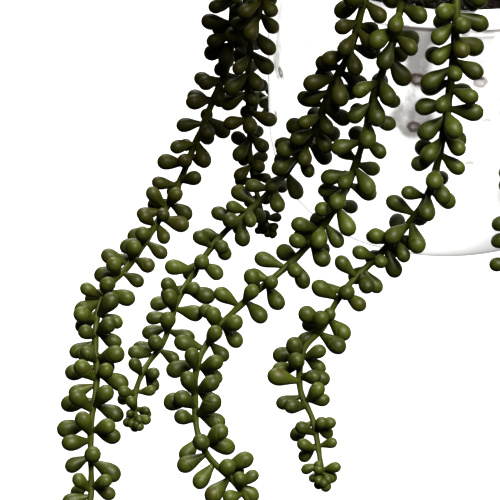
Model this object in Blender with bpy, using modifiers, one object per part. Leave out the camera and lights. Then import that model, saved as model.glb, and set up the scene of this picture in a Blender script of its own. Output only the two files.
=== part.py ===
"""A string of pearls in a white glazed pot.

A trailing succulent. Its thin stems come out of the soil, arch over the rim, hang down the pot's wall
and lie along the surface that the pot stands on. Club-shaped pearl leaves sit on them in whorls, and
each stem ends in a small rosette. Metres, +Z up. The origin is the middle of the pot's foot, and -Y is
the front. Sizes below are in millimetres, and MM turns them into metres.
"""

import bisect
import math
import random

import bmesh
import bpy
from mathutils import Matrix, Vector

MM = 0.001
TURN_STEPS = 40
TOUCHING_GAP = 0.3
MERGE_DISTANCE = 0.00001

# The pot: a nearly upright wall that curves in to a flat foot, and a rolled lip with a groove under it.
POT_HEIGHT = 145.0
WALL_RADIUS = 92.0
SHOULDER_RADIUS = 91.0
SHOULDER_HEIGHT = 110.0
FOOT_RADIUS = 60.0
CURVE_HEIGHT = 50.0
LIP_RADIUS = 4.0
INSIDE_RADIUS = WALL_RADIUS - 2 * LIP_RADIUS
FLOOR_THICKNESS = 7.0
GROOVE_DEPTH = 2.5

# The soil, and the plain holes in it that the stems stand in.
SOIL_TOP = 135.0
HOLE_DEPTH = 8.0
HOLE_RADIUS = 2.0
HOLE_SIDES = 6

# The stems. HANGING_STEP and LYING_STEP are the distances from one whorl of leaves to the next.
STEM_RADIUS = 1.4
TIP_STEM_SHARE = 0.6
HANGING_STEP = 12.0
LYING_STEP = 19.0
LYING_BELOW = 30.0
TIP_STEP_SHARE = 0.6
CURVE_SAMPLES = 24
STEM_CLEAR_OF_SURFACE = 9.0

# The pearl leaves, measured from the middle of the stem. The oldest ones, near the root, are larger by
# OLD_LEAF_SHARE. The outline runs from the leaf's end to its root, as (radius, height) of a leaf 1 long
# and 1 wide.
LEAF_LENGTH = 13.6
LEAF_WIDTH = 7.4
OLD_LEAF_SHARE = 0.16
LEAF_SIDES = 4
LEAF_OUTLINE = ((0.0, 1.0), (0.42, 0.89), (0.50, 0.64), (0.0, 0.0))
LEAF_LEAN = 74.0
LEAF_LEAN_SPREAD = 16.0
LEAF_SIZE_SPREAD = 0.12
WHORL_SIZES = (3, 4, 4, 5)
WHORL_JITTER = 22.0
WHORL_SHIFT = 0.3
WHORL_STAGGER = 0.16
TIP_SHARE = 0.62
TIP_TAPER_LENGTH = 55.0
ROSETTE_LEANS = (56.0, 56.0, 56.0, 56.0, 24.0, 24.0, 24.0, 2.0)
ROSETTE_TURN = 137.5
ROSETTE_RISE = 0.45
ROSETTE_LENGTH = 6.8
ROSETTE_WIDTH = 4.2

# Where a leaf would touch something, it turns round the stem or leans to the tip, in this order.
TURNS = (0.0, 20.0, -20.0, 42.0, -42.0, 66.0, -66.0, 90.0, -90.0)
EXTRA_LEANS = (0.0, -24.0, 20.0)
LEAF_CLEARANCE = 0.4
BALLS = ((0.30, 0.24), (0.50, 0.46), (0.72, 0.52), (0.86, 0.40))
CELL = 12.0

# These solids carry one leaf of each whorl, evenly on all sides, and two of each rosette's eight.
ROSETTE_KEPT = (1, 7)

# The five long stems at the front and left, as points along each: x, y and z from the pot's foot.
FRONT_ROUTES = (
    ((-62, 8, 140), (-66, 9, 151), (-80, 11, 159), (-97, 12, 152), (-106, 12, 132), (-110, 12, 106),
     (-112, 10, 77), (-121, 6, 55), (-128, 3, 37), (-134, 2, 23), (-140, -9, 11), (-146, -31, 9),
     (-153, -59, 9), (-161, -88, 9), (-170, -109, 9), (-174, -132, 9), (-173, -163, 9), (-170, -192, 9),
     (-170, -226, 9), (-168, -252, 9), (-166, -278, 9), (-169, -304, 9)),
    ((-57, -24, 140), (-62, -27, 151), (-75, -33, 159), (-89, -39, 151), (-95, -40, 130),
     (-99, -32, 113), (-101, -27, 98), (-102, -25, 74), (-101, -30, 58), (-101, -30, 40),
     (-98, -37, 25), (-95, -44, 15), (-91, -54, 10)),
    ((-29, -55, 140), (-32, -59, 151), (-40, -74, 159), (-48, -89, 151), (-54, -90, 126),
     (-63, -84, 102), (-69, -79, 80), (-81, -70, 54), (-93, -66, 36), (-106, -72, 26), (-118, -81, 18),
     (-128, -98, 11), (-136, -123, 9), (-141, -159, 9), (-147, -176, 9), (-151, -192, 9),
     (-152, -208, 9), (-151, -222, 9)),
    ((-16, -60, 140), (-19, -64, 151), (-26, -82, 159), (-32, -98, 151), (-36, -98, 129),
     (-42, -96, 108), (-47, -94, 80), (-51, -92, 63), (-57, -91, 46), (-69, -94, 28), (-81, -100, 16),
     (-94, -111, 10), (-108, -132, 9), (-120, -159, 9), (-126, -184, 9), (-125, -200, 9),
     (-125, -220, 9), (-122, -239, 9), (-114, -259, 9), (-104, -270, 9), (-101, -286, 9), (-99, -306, 9)),
    ((-4, -62, 140), (-4, -67, 151), (-5, -84, 159), (-7, -100, 152), (-7, -104, 135), (-8, -104, 114),
     (-9, -104, 96), (-11, -104, 80), (-14, -104, 61), (-20, -104, 47), (-28, -104, 35), (-37, -104, 24),
     (-44, -106, 17), (-54, -115, 11), (-61, -130, 9), (-65, -145, 9), (-75, -163, 9), (-79, -190, 9),
     (-78, -204, 9), (-74, -220, 9), (-72, -242, 9), (-71, -263, 9)),
)

# The other stems go over the rim at these angles, anticlockwise from +X seen from above. Short ones
# hang between them, as (angle, how many points of their profile they reach). The profiles are
# (distance from the pot's axis, height).
LONG_ANGLES = (292, 322, 351, 20, 49, 79, 109, 140)
SHORT_STEMS = ((222, 4), (307, 6), (5, 5), (64, 6), (125, 5), (189, 6))
HANGING_PROFILE = ((62, 140), (66, 151), (82, 159), (98, 152), (104, 132), (105, 105), (105, 78),
                   (107, 52), (112, 32), (123, 16), (140, 9.5))
SHORT_PROFILE = ((54, 140), (58, 152), (76, 161), (94, 155), (103, 138), (105, 116))
ROUTE_SEED = 7
LEAF_SEED = 21
SWAY = 2.5
RUN_STEP = 22.0
RUN_STEPS = (1, 4)
RUN_DRIFT = 16.0

# The sprigs in the middle of the pot lie in low arches over the soil, drawn until each is clear.
SPRIG_COUNT = 10
SPRIG_HEIGHTS = (140, 149, 153, 152, 149, 146)
SPRIG_STEP = 11.0
SPRIG_BEND = 32.0
SPRIG_REACH = 50.0
SPRIG_CLEAR = 9.0
SPRIG_TRIES = 4000

COLOURS = {
    "glaze": ((0.86, 0.86, 0.84), 0.12),
    "soil": ((0.030, 0.022, 0.016), 0.95),
    "leaf": ((0.155, 0.215, 0.052), 0.42),
}


def material(name):
    """A plain material in the part's own colour and roughness."""
    colour, roughness = COLOURS[name]
    finish = bpy.data.materials.new(name)
    finish.use_nodes = True
    shader = finish.node_tree.nodes["Principled BSDF"]
    shader.inputs["Base Color"].default_value = (*colour, 1.0)
    shader.inputs["Roughness"].default_value = roughness
    shader.inputs["Metallic"].default_value = 0.0
    finish.diffuse_color = (*colour, 1.0)
    return finish


def add_object(name, data, collection, finish=None):
    """A named object in a collection, with its material."""
    thing = bpy.data.objects.new(name, data)
    collection.objects.link(thing)
    if finish is not None:
        data.materials.append(finish)
    return thing


def solid_mesh(thing):
    """The mesh of an object as it is seen, with its modifiers and the caps of a curve joined on."""
    seen = thing.evaluated_get(bpy.context.evaluated_depsgraph_get())
    mesh = bpy.data.meshes.new_from_object(seen)
    return mesh


def turned(name, outline, steps, collection, finish=None, scale=MM):
    """A solid turned round Z. The outline is (radius, height), and runs down its outer side."""
    mesh = bpy.data.meshes.new(name)
    points = [(radius * scale, 0.0, height * scale) for radius, height in outline]
    mesh.from_pydata(points, [(i, i + 1) for i in range(len(points) - 1)], [])
    thing = add_object(name, mesh, collection, finish)
    screw = thing.modifiers.new("turned", "SCREW")
    screw.steps = steps
    screw.render_steps = steps
    screw.use_merge_vertices = True
    screw.merge_threshold = MERGE_DISTANCE
    screw.use_smooth_shade = False
    return thing


def curve_in(flat_radius, wall_radius, bottom, top, steps):
    """A quarter of an ellipse, from the upright wall down to the flat bottom, as (radius, height)."""
    arc = []
    for step in range(steps + 1):
        angle = math.pi / 2 * step / steps
        radius = flat_radius + (wall_radius - flat_radius) * math.cos(angle)
        arc.append((radius, top - (top - bottom) * math.sin(angle)))
    return arc


def inside_outline(gap):
    """The pot's inner side from the middle of its floor up, smaller all round by a gap."""
    curve = curve_in(FOOT_RADIUS - FLOOR_THICKNESS, INSIDE_RADIUS, FLOOR_THICKNESS, CURVE_HEIGHT, 3)
    wall = [(radius - gap, height + gap) for radius, height in reversed(curve)]
    return [(0.0, FLOOR_THICKNESS + gap)] + wall


def pot_outline():
    """The pot's outline: up its inside, over the rolled lip, down its outside and in under its foot."""
    lip_middle = WALL_RADIUS - LIP_RADIUS
    lip_height = POT_HEIGHT - LIP_RADIUS
    lip = []
    for angle in (180, 120, 60, 0, -60):
        turn = math.radians(angle)
        lip.append((lip_middle + LIP_RADIUS * math.cos(turn), lip_height + LIP_RADIUS * math.sin(turn)))
    groove_height = POT_HEIGHT - 2.4 * LIP_RADIUS
    outside = [(WALL_RADIUS - GROOVE_DEPTH, groove_height),
               (SHOULDER_RADIUS, groove_height - GROOVE_DEPTH),
               (WALL_RADIUS, SHOULDER_HEIGHT)]
    below = curve_in(FOOT_RADIUS, SHOULDER_RADIUS, 0.0, CURVE_HEIGHT, 5)
    return inside_outline(0.0) + lip + outside + below + [(0.0, 0.0)]


def soil_outline():
    """The soil fills the pot up to its level, with a small gap to the pot all round."""
    inside = inside_outline(TOUCHING_GAP)
    edge = inside[-1][0]
    return [(0.0, SOIL_TOP), (edge, SOIL_TOP)] + list(reversed(inside))


def polar(radius, angle, height):
    """A point from its distance to the pot's axis, its angle in degrees and its height."""
    turn = math.radians(angle)
    return Vector((radius * math.cos(turn), radius * math.sin(turn), height))


def hanging_route(angle, draw):
    """A stem over the rim, down the wall and out along the surface, turning a little as it goes."""
    points = []
    sway = 0.0
    for radius, height in HANGING_PROFILE:
        points.append(polar(radius, angle + sway, height))
        sway += draw.uniform(-SWAY, SWAY)
    heading = angle + sway + draw.uniform(-RUN_DRIFT, RUN_DRIFT)
    bend = draw.uniform(-RUN_DRIFT, RUN_DRIFT)
    for _ in range(draw.randint(*RUN_STEPS)):
        points.append(points[-1] + polar(RUN_STEP, heading, 0.0))
        points[-1].z = STEM_CLEAR_OF_SURFACE
        heading += bend
    return points


def short_route(angle, reach):
    """A short stem that arches over the rim and hangs between two long ones."""
    return [polar(radius, angle, height) for radius, height in SHORT_PROFILE[:reach]]


def sprig_route(draw):
    """A short stem that lies in a low arch over the soil, from a drawn place and on a drawn heading."""
    point = polar(SPRIG_REACH * math.sqrt(draw.random()), draw.uniform(0.0, 360.0), 0.0)
    heading = draw.uniform(0.0, 360.0)
    points = []
    for height in SPRIG_HEIGHTS:
        points.append(Vector((point.x, point.y, height)))
        point = point + polar(SPRIG_STEP if points[1:] else SPRIG_STEP / 3, heading, 0.0)
        heading += draw.uniform(-SPRIG_BEND, SPRIG_BEND)
    return points


def crown_routes(taken, draw):
    """The sprigs that find room in the middle of the pot, clear of the stems there and each other."""
    sprigs = []
    for _ in range(SPRIG_TRIES):
        points = sprig_route(draw)
        inside = all(math.hypot(point.x, point.y) < SPRIG_REACH for point in points)
        if inside and all((point - other).length > SPRIG_CLEAR for point in points for other in taken):
            sprigs.append(points)
            taken = taken + points
        if len(sprigs) == SPRIG_COUNT:
            break
    return sprigs


def routes():
    """Every stem's name and the points along it, in the order in which the leaves are placed."""
    draw = random.Random(ROUTE_SEED)
    named = {}
    for points in FRONT_ROUTES:
        named[f"strand_{len(named) + 1:02d}"] = [Vector(point) for point in points]
    for angle in LONG_ANGLES:
        named[f"strand_{len(named) + 1:02d}"] = hanging_route(angle, draw)
    for number, (angle, reach) in enumerate(SHORT_STEMS, 1):
        named[f"short_strand_{number:02d}"] = short_route(angle, reach)
    taken = [point for points in named.values() for point in points]
    for number, points in enumerate(crown_routes(taken, draw), 1):
        named[f"crown_sprig_{number:02d}"] = points
    return named


def smooth_curve(points):
    """Points along a smooth curve through a route's own points (Catmull and Rom's rule)."""
    ends = [points[0] * 2 - points[1]] + points + [points[-1] * 2 - points[-2]]
    curve = []
    for a, b, c, d in zip(ends, ends[1:], ends[2:], ends[3:]):
        for sample in range(CURVE_SAMPLES):
            t = sample / CURVE_SAMPLES
            curve.append((b * 2 + (c - a) * t + (a * 2 - b * 5 + c * 4 - d) * t ** 2
                          + (b * 3 - a - c * 3 + d) * t ** 3) * 0.5)
    return curve + [points[-1]]


def whorl_step(point, to_tip):
    """How far apart the whorls sit there: wider where the stem lies, and closer near its tip."""
    lying = min(1.0, max(0.0, (LYING_BELOW - point.z) / (LYING_BELOW - STEM_CLEAR_OF_SURFACE)))
    near_tip = max(0.0, 1.0 - to_tip / TIP_TAPER_LENGTH)
    step = HANGING_STEP + (LYING_STEP - HANGING_STEP) * lying
    return step * (1.0 - (1.0 - TIP_STEP_SHARE) * near_tip)


def stem_nodes(points):
    """The stem's nodes, one a whorl along its route, with its foot upright in its hole below them."""
    curve = smooth_curve(points)
    spans = [(b - a).length for a, b in zip(curve, curve[1:])]
    to_tip = sum(spans)
    passed = [0.0]
    for point, span in zip(curve, spans):
        passed.append(passed[-1] + span / whorl_step(point, to_tip))
        to_tip -= span
    count = round(passed[-1])
    nodes = [Vector((points[0].x, points[0].y, SOIL_TOP - HOLE_DEPTH + TOUCHING_GAP))]
    for number in range(count):
        wanted = passed[-1] * number / count
        before = bisect.bisect_right(passed, wanted) - 1
        share = (wanted - passed[before]) / (passed[before + 1] - passed[before])
        nodes.append(curve[before].lerp(curve[before + 1], share))
    nodes.append(points[-1].copy())
    return nodes


def distance_to_outline(point, outline):
    """How far a point lies from the pot and its soil, seen in the half plane through the pot's axis."""
    here = Vector((math.hypot(point.x, point.y), point.z))
    nearest = math.inf
    for start, end in zip(outline, outline[1:]):
        along = end - start
        share = min(1.0, max(0.0, (here - start).dot(along) / along.length_squared))
        nearest = min(nearest, (here - start - along * share).length)
    return nearest


class Room:
    """The room that is taken: balls for stems and leaves in cells, the pot's outline and the surface."""

    def __init__(self):
        self.cells = {}
        outside = pot_outline()
        over_soil = [(0.0, SOIL_TOP), (INSIDE_RADIUS, SOIL_TOP)]
        lip_and_wall = outside[len(inside_outline(0.0)):-1]
        self.outline = [Vector(point) for point in over_soil + lip_and_wall]

    def cell(self, point):
        return tuple(math.floor(value / CELL) for value in point)

    def take(self, balls, owner):
        """Marks balls, as (middle, radius), as taken by an owner."""
        for middle, radius in balls:
            self.cells.setdefault(self.cell(middle), []).append((middle, radius, owner))

    def free(self, balls, own_stem):
        """Whether balls are clear of the pot, the soil, the surface, the leaves and all other stems."""
        for middle, radius in balls:
            if middle.z < radius + LEAF_CLEARANCE:
                return False
            if distance_to_outline(middle, self.outline) < radius + LEAF_CLEARANCE:
                return False
            x, y, z = self.cell(middle)
            for key in ((x + i, y + j, z + k) for i in (-1, 0, 1) for j in (-1, 0, 1) for k in (-1, 0, 1)):
                for other, other_radius, owner in self.cells.get(key, ()):
                    apart = radius + other_radius + LEAF_CLEARANCE
                    if owner != own_stem and (other - middle).length < apart:
                        return False
        return True


def leaf_balls(root, direction, length, width):
    """A leaf as balls along it."""
    return [(root + direction * (length * along), width * radius) for along, radius in BALLS]


def leaf_direction(tangent, away, turn, lean):
    """A leaf's direction: turned round the stem from the side, leaning towards the stem's tip."""
    side = tangent.cross(away).normalized()
    around = Matrix.Rotation(math.radians(turn), 3, tangent) @ side
    lean = math.radians(lean)
    return (around * math.sin(lean) + tangent * math.cos(lean)).normalized()


def away_from_pot(point, tangent):
    """The direction across the stem that points up and away from the pot."""
    outward = Vector((point.x, point.y, 0.0)).normalized() + Vector((0.0, 0.0, 1.0))
    return (outward - tangent * outward.dot(tangent)).normalized()


def place_whorls(name, nodes, room, draw):
    """The leaves of one stem, as (whorl, place in it, root, direction, length, width)."""
    leaves = []
    spans = [(b - a).length for a, b in zip(nodes, nodes[1:])]
    for whorl in range(2, len(nodes) - 1):
        node = nodes[whorl]
        tangent = (nodes[whorl + 1] - node).normalized()
        away = away_from_pot(node, tangent)
        share = min(1.0, TIP_SHARE + (1.0 - TIP_SHARE) * sum(spans[whorl + 1:]) / TIP_TAPER_LENGTH)
        share *= 1.0 + OLD_LEAF_SHARE * (1.0 - whorl / (len(nodes) - 1))
        count = draw.choice(WHORL_SIZES)
        shift = draw.uniform(0.0, WHORL_SHIFT)
        for place in range(count):
            turn = 360.0 * (place + whorl % 2 / 2) / count + draw.uniform(-WHORL_JITTER, WHORL_JITTER)
            lean = LEAF_LEAN + draw.uniform(-LEAF_LEAN_SPREAD, LEAF_LEAN_SPREAD)
            size = share * (1.0 + draw.uniform(-LEAF_SIZE_SPREAD, LEAF_SIZE_SPREAD))
            root = node + tangent * ((shift + WHORL_STAGGER * place) * spans[whorl])
            length, width = LEAF_LENGTH * size, LEAF_WIDTH * size
            tries = [(turn + more, lean + tip) for tip in EXTRA_LEANS for more in TURNS]
            for way, slope in tries:
                direction = leaf_direction(tangent, away, way, slope)
                balls = leaf_balls(root, direction, length, width)
                if room.free(balls, name):
                    room.take(balls, name + " leaf")
                    leaves.append((whorl, place, root, direction, length, width))
                    break
    return leaves


def place_rosette(nodes, room, draw):
    """The small leaves round a stem's tip, in the same form as its whorls."""
    tangent = (nodes[-1] - nodes[-2]).normalized()
    away = away_from_pot(nodes[-1], tangent)
    leaves = []
    for place, lean in enumerate(ROSETTE_LEANS):
        direction = leaf_direction(tangent, away, ROSETTE_TURN * place, lean)
        size = 1.0 + draw.uniform(-LEAF_SIZE_SPREAD, LEAF_SIZE_SPREAD)
        length, width = ROSETTE_LENGTH * size, ROSETTE_WIDTH * size
        root = nodes[-1] - tangent * (ROSETTE_RISE * (len(ROSETTE_LEANS) - place))
        balls = leaf_balls(root, direction, length, width)
        if all(middle.z > radius + LEAF_CLEARANCE for middle, radius in balls):
            leaves.append((len(nodes) - 1, place, root, direction, length, width))
    return leaves


def all_leaves(stems):
    """Every stem's whorls and rosette, each placed clear of all that was placed before it."""
    room = Room()
    for name, nodes in stems.items():
        for start, end in zip(nodes, nodes[1:]):
            parts = 4
            room.take([(start.lerp(end, i / parts), STEM_RADIUS) for i in range(parts)], name)
        tip = nodes[-1] + (nodes[-1] - nodes[-2]).normalized() * (ROSETTE_LENGTH / 3)
        room.take([(tip, ROSETTE_LENGTH)], name)
    leaves = {}
    for number, (name, nodes) in enumerate(stems.items()):
        draw = random.Random(LEAF_SEED + number)
        whorls = place_whorls(name, nodes, room, draw)
        leaves[name] = (whorls, place_rosette(nodes, room, draw))
    return leaves


def kept(whorls, rosette):
    """The leaves that these solids carry: one a whorl, turning round the stem, and two at its tip."""
    by_whorl = {}
    for leaf in whorls:
        by_whorl.setdefault(leaf[0], []).append(leaf)
    chosen = [leaves[whorl % len(leaves)] for whorl, leaves in by_whorl.items()]
    return chosen + [leaf for leaf in rosette if leaf[1] in ROSETTE_KEPT]


def stem_solid(name, nodes, collection, finish):
    """The bare stem: a thin tube through its nodes, thinner at its tip, as a closed mesh."""
    data = bpy.data.curves.new(name, "CURVE")
    data.dimensions = "3D"
    data.bevel_depth = STEM_RADIUS * MM
    data.bevel_resolution = 0
    data.use_fill_caps = True
    spline = data.splines.new("POLY")
    spline.points.add(len(nodes) - 1)
    for i, (point, node) in enumerate(zip(spline.points, nodes)):
        point.co = (*(node * MM), 1.0)
        point.radius = 1.0 - (1.0 - TIP_STEM_SHARE) * (i / (len(nodes) - 1)) ** 3
    tube = add_object(name, data, collection)
    mesh = solid_mesh(tube)
    bpy.data.objects.remove(tube)
    weld(mesh)
    return add_object(name, mesh, collection, finish)


def weld(mesh):
    """Joins a curve's loose caps to its tube."""
    shape = bmesh.new()
    shape.from_mesh(mesh)
    bmesh.ops.remove_doubles(shape, verts=shape.verts, dist=MERGE_DISTANCE)
    bmesh.ops.recalc_face_normals(shape, faces=shape.faces)
    shape.to_mesh(mesh)
    shape.free()


def leafy_stem(name, nodes, leaves, leaf_mesh, collection, finish):
    """One leafy stem: its tube and its leaves, their roots sunk in it, joined to one solid."""
    stem = stem_solid(name, nodes, collection, finish)
    crowd = bpy.data.collections.new(name + "_leaves")
    bpy.context.scene.collection.children.link(crowd)
    for _, _, root, direction, length, width in leaves:
        leaf = add_object("leaf", leaf_mesh, crowd)
        turn = direction.to_track_quat("Z", "X").to_matrix().to_4x4()
        size = Matrix.Diagonal((width * MM, width * MM, length * MM, 1.0))
        leaf.matrix_world = Matrix.Translation(root * MM) @ turn @ size
    join = stem.modifiers.new("leaves", "BOOLEAN")
    join.operation = "UNION"
    join.operand_type = "COLLECTION"
    join.collection = crowd
    join.solver = "EXACT"
    mesh = solid_mesh(stem)
    stem.modifiers.clear()
    stem.data = mesh
    for leaf in list(crowd.objects):
        bpy.data.objects.remove(leaf)
    bpy.data.collections.remove(crowd)
    return stem


def potted_soil(stems, plant, cutters, finish):
    """The soil, with a plain hole for each stem."""
    soil = turned("soil", soil_outline(), TURN_STEPS, plant, finish)
    holes = bpy.data.collections.new("stem_holes")
    cutters.children.link(holes)
    for nodes in stems.values():
        foot = nodes[0]
        bpy.ops.mesh.primitive_cylinder_add(
            vertices=HOLE_SIDES, radius=HOLE_RADIUS * MM, depth=2 * HOLE_DEPTH * MM,
            location=(foot.x * MM, foot.y * MM, SOIL_TOP * MM))
        hole = bpy.context.active_object
        hole.name = "hole"
        hole.hide_render = True
        hole.display_type = "WIRE"
        hole.users_collection[0].objects.unlink(hole)
        holes.objects.link(hole)
    cut = soil.modifiers.new("holes", "BOOLEAN")
    cut.operation = "DIFFERENCE"
    cut.operand_type = "COLLECTION"
    cut.collection = holes
    cut.solver = "EXACT"
    return soil


def build():
    for thing in list(bpy.data.objects):
        bpy.data.objects.remove(thing)
    scene = bpy.context.scene.collection
    plant = bpy.data.collections.new("potted_string_of_pearls")
    cutters = bpy.data.collections.new("cutters")
    scene.children.link(plant)
    scene.children.link(cutters)
    glaze, earth, green = material("glaze"), material("soil"), material("leaf")

    turned("pot", pot_outline(), TURN_STEPS, plant, glaze)
    stems = {name: stem_nodes(points) for name, points in routes().items()}
    potted_soil(stems, plant, cutters, earth)

    pattern = turned("leaf_pattern", LEAF_OUTLINE, LEAF_SIDES, cutters, scale=1.0)
    leaf_mesh = solid_mesh(pattern)
    bpy.data.objects.remove(pattern)
    for name, (whorls, rosette) in all_leaves(stems).items():
        leafy_stem(name, stems[name], kept(whorls, rosette), leaf_mesh, plant, green)


build()
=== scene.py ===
"""The looks of a potted string of pearls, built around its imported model.

The glazed pot, the potting soil and every leafy stem are made finer here, in the forms and places of the
solids that they stand for. Sizes are in millimetres, and MM turns them into metres.
"""

import bisect
import itertools
import math
import random
from collections import namedtuple

import bmesh
import bpy
from bpy.props import FloatProperty, FloatVectorProperty, IntProperty, PointerProperty
from mathutils import Matrix, Quaternion, Vector, noise


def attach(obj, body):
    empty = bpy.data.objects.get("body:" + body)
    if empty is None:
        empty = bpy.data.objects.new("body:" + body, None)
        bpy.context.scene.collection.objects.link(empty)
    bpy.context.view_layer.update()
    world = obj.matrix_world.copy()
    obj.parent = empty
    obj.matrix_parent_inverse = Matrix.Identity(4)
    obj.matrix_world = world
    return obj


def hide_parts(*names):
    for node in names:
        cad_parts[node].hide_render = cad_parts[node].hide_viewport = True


bl_info = {
    "name": "Potted string of pearls",
    "version": (1, 0, 0),
    "blender": (4, 5, 0),
    "location": "3D View > Sidebar > Pearls",
    "description": "Dresses the packed model of a potted string of pearls",
    "category": "Object",
}

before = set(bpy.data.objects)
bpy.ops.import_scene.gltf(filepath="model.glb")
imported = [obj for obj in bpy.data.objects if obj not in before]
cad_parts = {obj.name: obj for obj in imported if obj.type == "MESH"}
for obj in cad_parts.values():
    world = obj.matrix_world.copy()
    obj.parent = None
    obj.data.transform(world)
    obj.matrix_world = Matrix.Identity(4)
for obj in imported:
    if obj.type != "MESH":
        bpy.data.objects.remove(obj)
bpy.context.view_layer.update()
MM = 0.001
MERGE_DISTANCE = 0.00001

# The pot's form, as in its solid.
POT_HEIGHT = 145.0
WALL_RADIUS = 92.0
SHOULDER_RADIUS = 91.0
SHOULDER_HEIGHT = 110.0
FOOT_RADIUS = 60.0
CURVE_HEIGHT = 50.0
LIP_RADIUS = 4.0
INSIDE_RADIUS = WALL_RADIUS - 2 * LIP_RADIUS
FLOOR_THICKNESS = 7.0
GROOVE_DEPTH = 2.5
GROOVE_HEIGHT = POT_HEIGHT - 2.4 * LIP_RADIUS
WALL_TOP = GROOVE_HEIGHT - GROOVE_DEPTH
LIP_MIDDLE = (WALL_RADIUS - LIP_RADIUS, POT_HEIGHT - LIP_RADIUS)

# The pot's finer mesh: its steps round, the height of its rows of faces, how many degrees its lip
# rolls, how the groove's back bends, and how far out its outside starts.
POT_STEPS = 384
POT_ROW = 1.6
LIP_STEPS = 12
LIP_ROLL = 250.0
CURVE_STEPS = 40
INSIDE_STEPS = 6
INSIDE_RINGS = 4
GROOVE_BEND_DEPTH = 0.8 * GROOVE_DEPTH
GROOVE_BEND_BELOW = 0.9
SHOULDER_EASE = 0.5
OUTSIDE_FROM = SHOULDER_RADIUS - 4.0

# The pits in the glaze, as (angle from +X seen from above, height, width, depth of colour): the
# front's own, and loose rows of (height, count) that leave the front's sector free.
FRONT_PITS = ((256.4, 110.5, 7.4, 1.0), (256, 85.5, 6.2, 0.85), (216, 114, 5.0, 0.45),
              (201, 89, 5.4, 0.7), (196, 61, 5.0, 0.5))
FRONT_SECTOR = (190.0, 268.0)
PIT_ROWS = ((113, 9), (88, 9), (61, 8))
PIT_SPREAD_ANGLE = 9.0
PIT_SPREAD_HEIGHT = 5.0
PIT_WIDTHS = (4.6, 6.4)
PIT_COLOURS = (0.5, 0.9)
PIT_SEED = 5

# A pit's form: its depth, its oval, and its core, its soft hollow and its colour in its own widths.
PIT_DEPTH = 0.55
PIT_OVAL = 1.22
PIT_REACH = 2.6
PIT_CORE = 0.36
PIT_CORE_SHARE = 0.7
PIT_HOLLOW = 0.9
PIT_HOLLOW_SHARE = 0.5
PIT_COLOUR_WIDTH = 0.55

# Painted shade and reflection on the glaze: a streak next to each pit, a band of painted shadow under the
# groove over the top pits, and a patch of painted shade at the lower ones.
SHADE_STREAK_WIDTH = 7.5
SHADE_STREAK_SHIFT = 0.8
SHADE_STREAK_FALL = 9.0
RIM_SHADOW_WIDTH = 20.0
RIM_SHADOW_HEIGHT = 4.5
PIT_SHADE_WIDTH = 14.0
PIT_SHADE_HEIGHT = 6.5
PIT_SHADE_ABOVE = 4.0
TOP_PITS_ABOVE = 100.0

# The soil, lumpy, with crumbs and a few pale grains on it.
SOIL_TOP = 135.0
SOIL_STEPS = 96
SOIL_RINGS = 26
SOIL_LUMP = 1.6
SOIL_LUMP_SIZE = 9.0
FINER_LUMP = 2.7
FINER_LUMP_SHARE = 0.5
CRUMB_COUNT = 1400
CRUMB_SIZES = (0.7, 2.5)
CRUMB_WIDTHS = (0.6, 1.0)
CRUMB_HEIGHTS = (0.5, 0.9)
CRUMB_CHIPS = (-0.25, 0.2)
CRUMB_ABOVE = 0.25
PALE_GRAIN_SHARE = 0.03
CRUMB_SEED = 11
TOUCHING_GAP = 0.3
HOLE_DEPTH = 8.0

# The stems and leaves, by the same rule as their solids.
STEM_RADIUS = 1.4
TIP_STEM_SHARE = 0.6
HANGING_STEP = 12.0
LYING_STEP = 19.0
LYING_BELOW = 30.0
TIP_STEP_SHARE = 0.6
CURVE_SAMPLES = 24
STEM_CLEAR_OF_SURFACE = 9.0
LEAF_LENGTH = 13.6
LEAF_WIDTH = 7.4
OLD_LEAF_SHARE = 0.16
LEAF_LEAN = 74.0
LEAF_LEAN_SPREAD = 16.0
LEAF_SIZE_SPREAD = 0.12
FIRST_WHORL = 2
WHORL_SIZES = (3, 4, 4, 5)
WHORL_JITTER = 22.0
WHORL_SHIFT = 0.3
WHORL_STAGGER = 0.16
TIP_SHARE = 0.62
TIP_TAPER_LENGTH = 55.0
ROSETTE_LEANS = (56.0, 56.0, 56.0, 56.0, 24.0, 24.0, 24.0, 2.0)
ROSETTE_TURN = 137.5
ROSETTE_RISE = 0.45
ROSETTE_LENGTH = 6.8
ROSETTE_WIDTH = 4.2
ROSETTE_AHEAD = ROSETTE_LENGTH / 3
TURNS = (0.0, 20.0, -20.0, 42.0, -42.0, 66.0, -66.0, 90.0, -90.0)
EXTRA_LEANS = (0.0, -24.0, 20.0)
LEAF_CLEARANCE = 0.4
BALLS = ((0.30, 0.24), (0.50, 0.46), (0.72, 0.52), (0.86, 0.40))
CELL = 12.0
STRETCH_BALLS = 4
CLEAR_LIP_ANGLES = (180, 120, 60, 0, -60)
CLEAR_CURVE_STEPS = 5
Leaf = namedtuple("Leaf", "whorl root direction length width")

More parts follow.
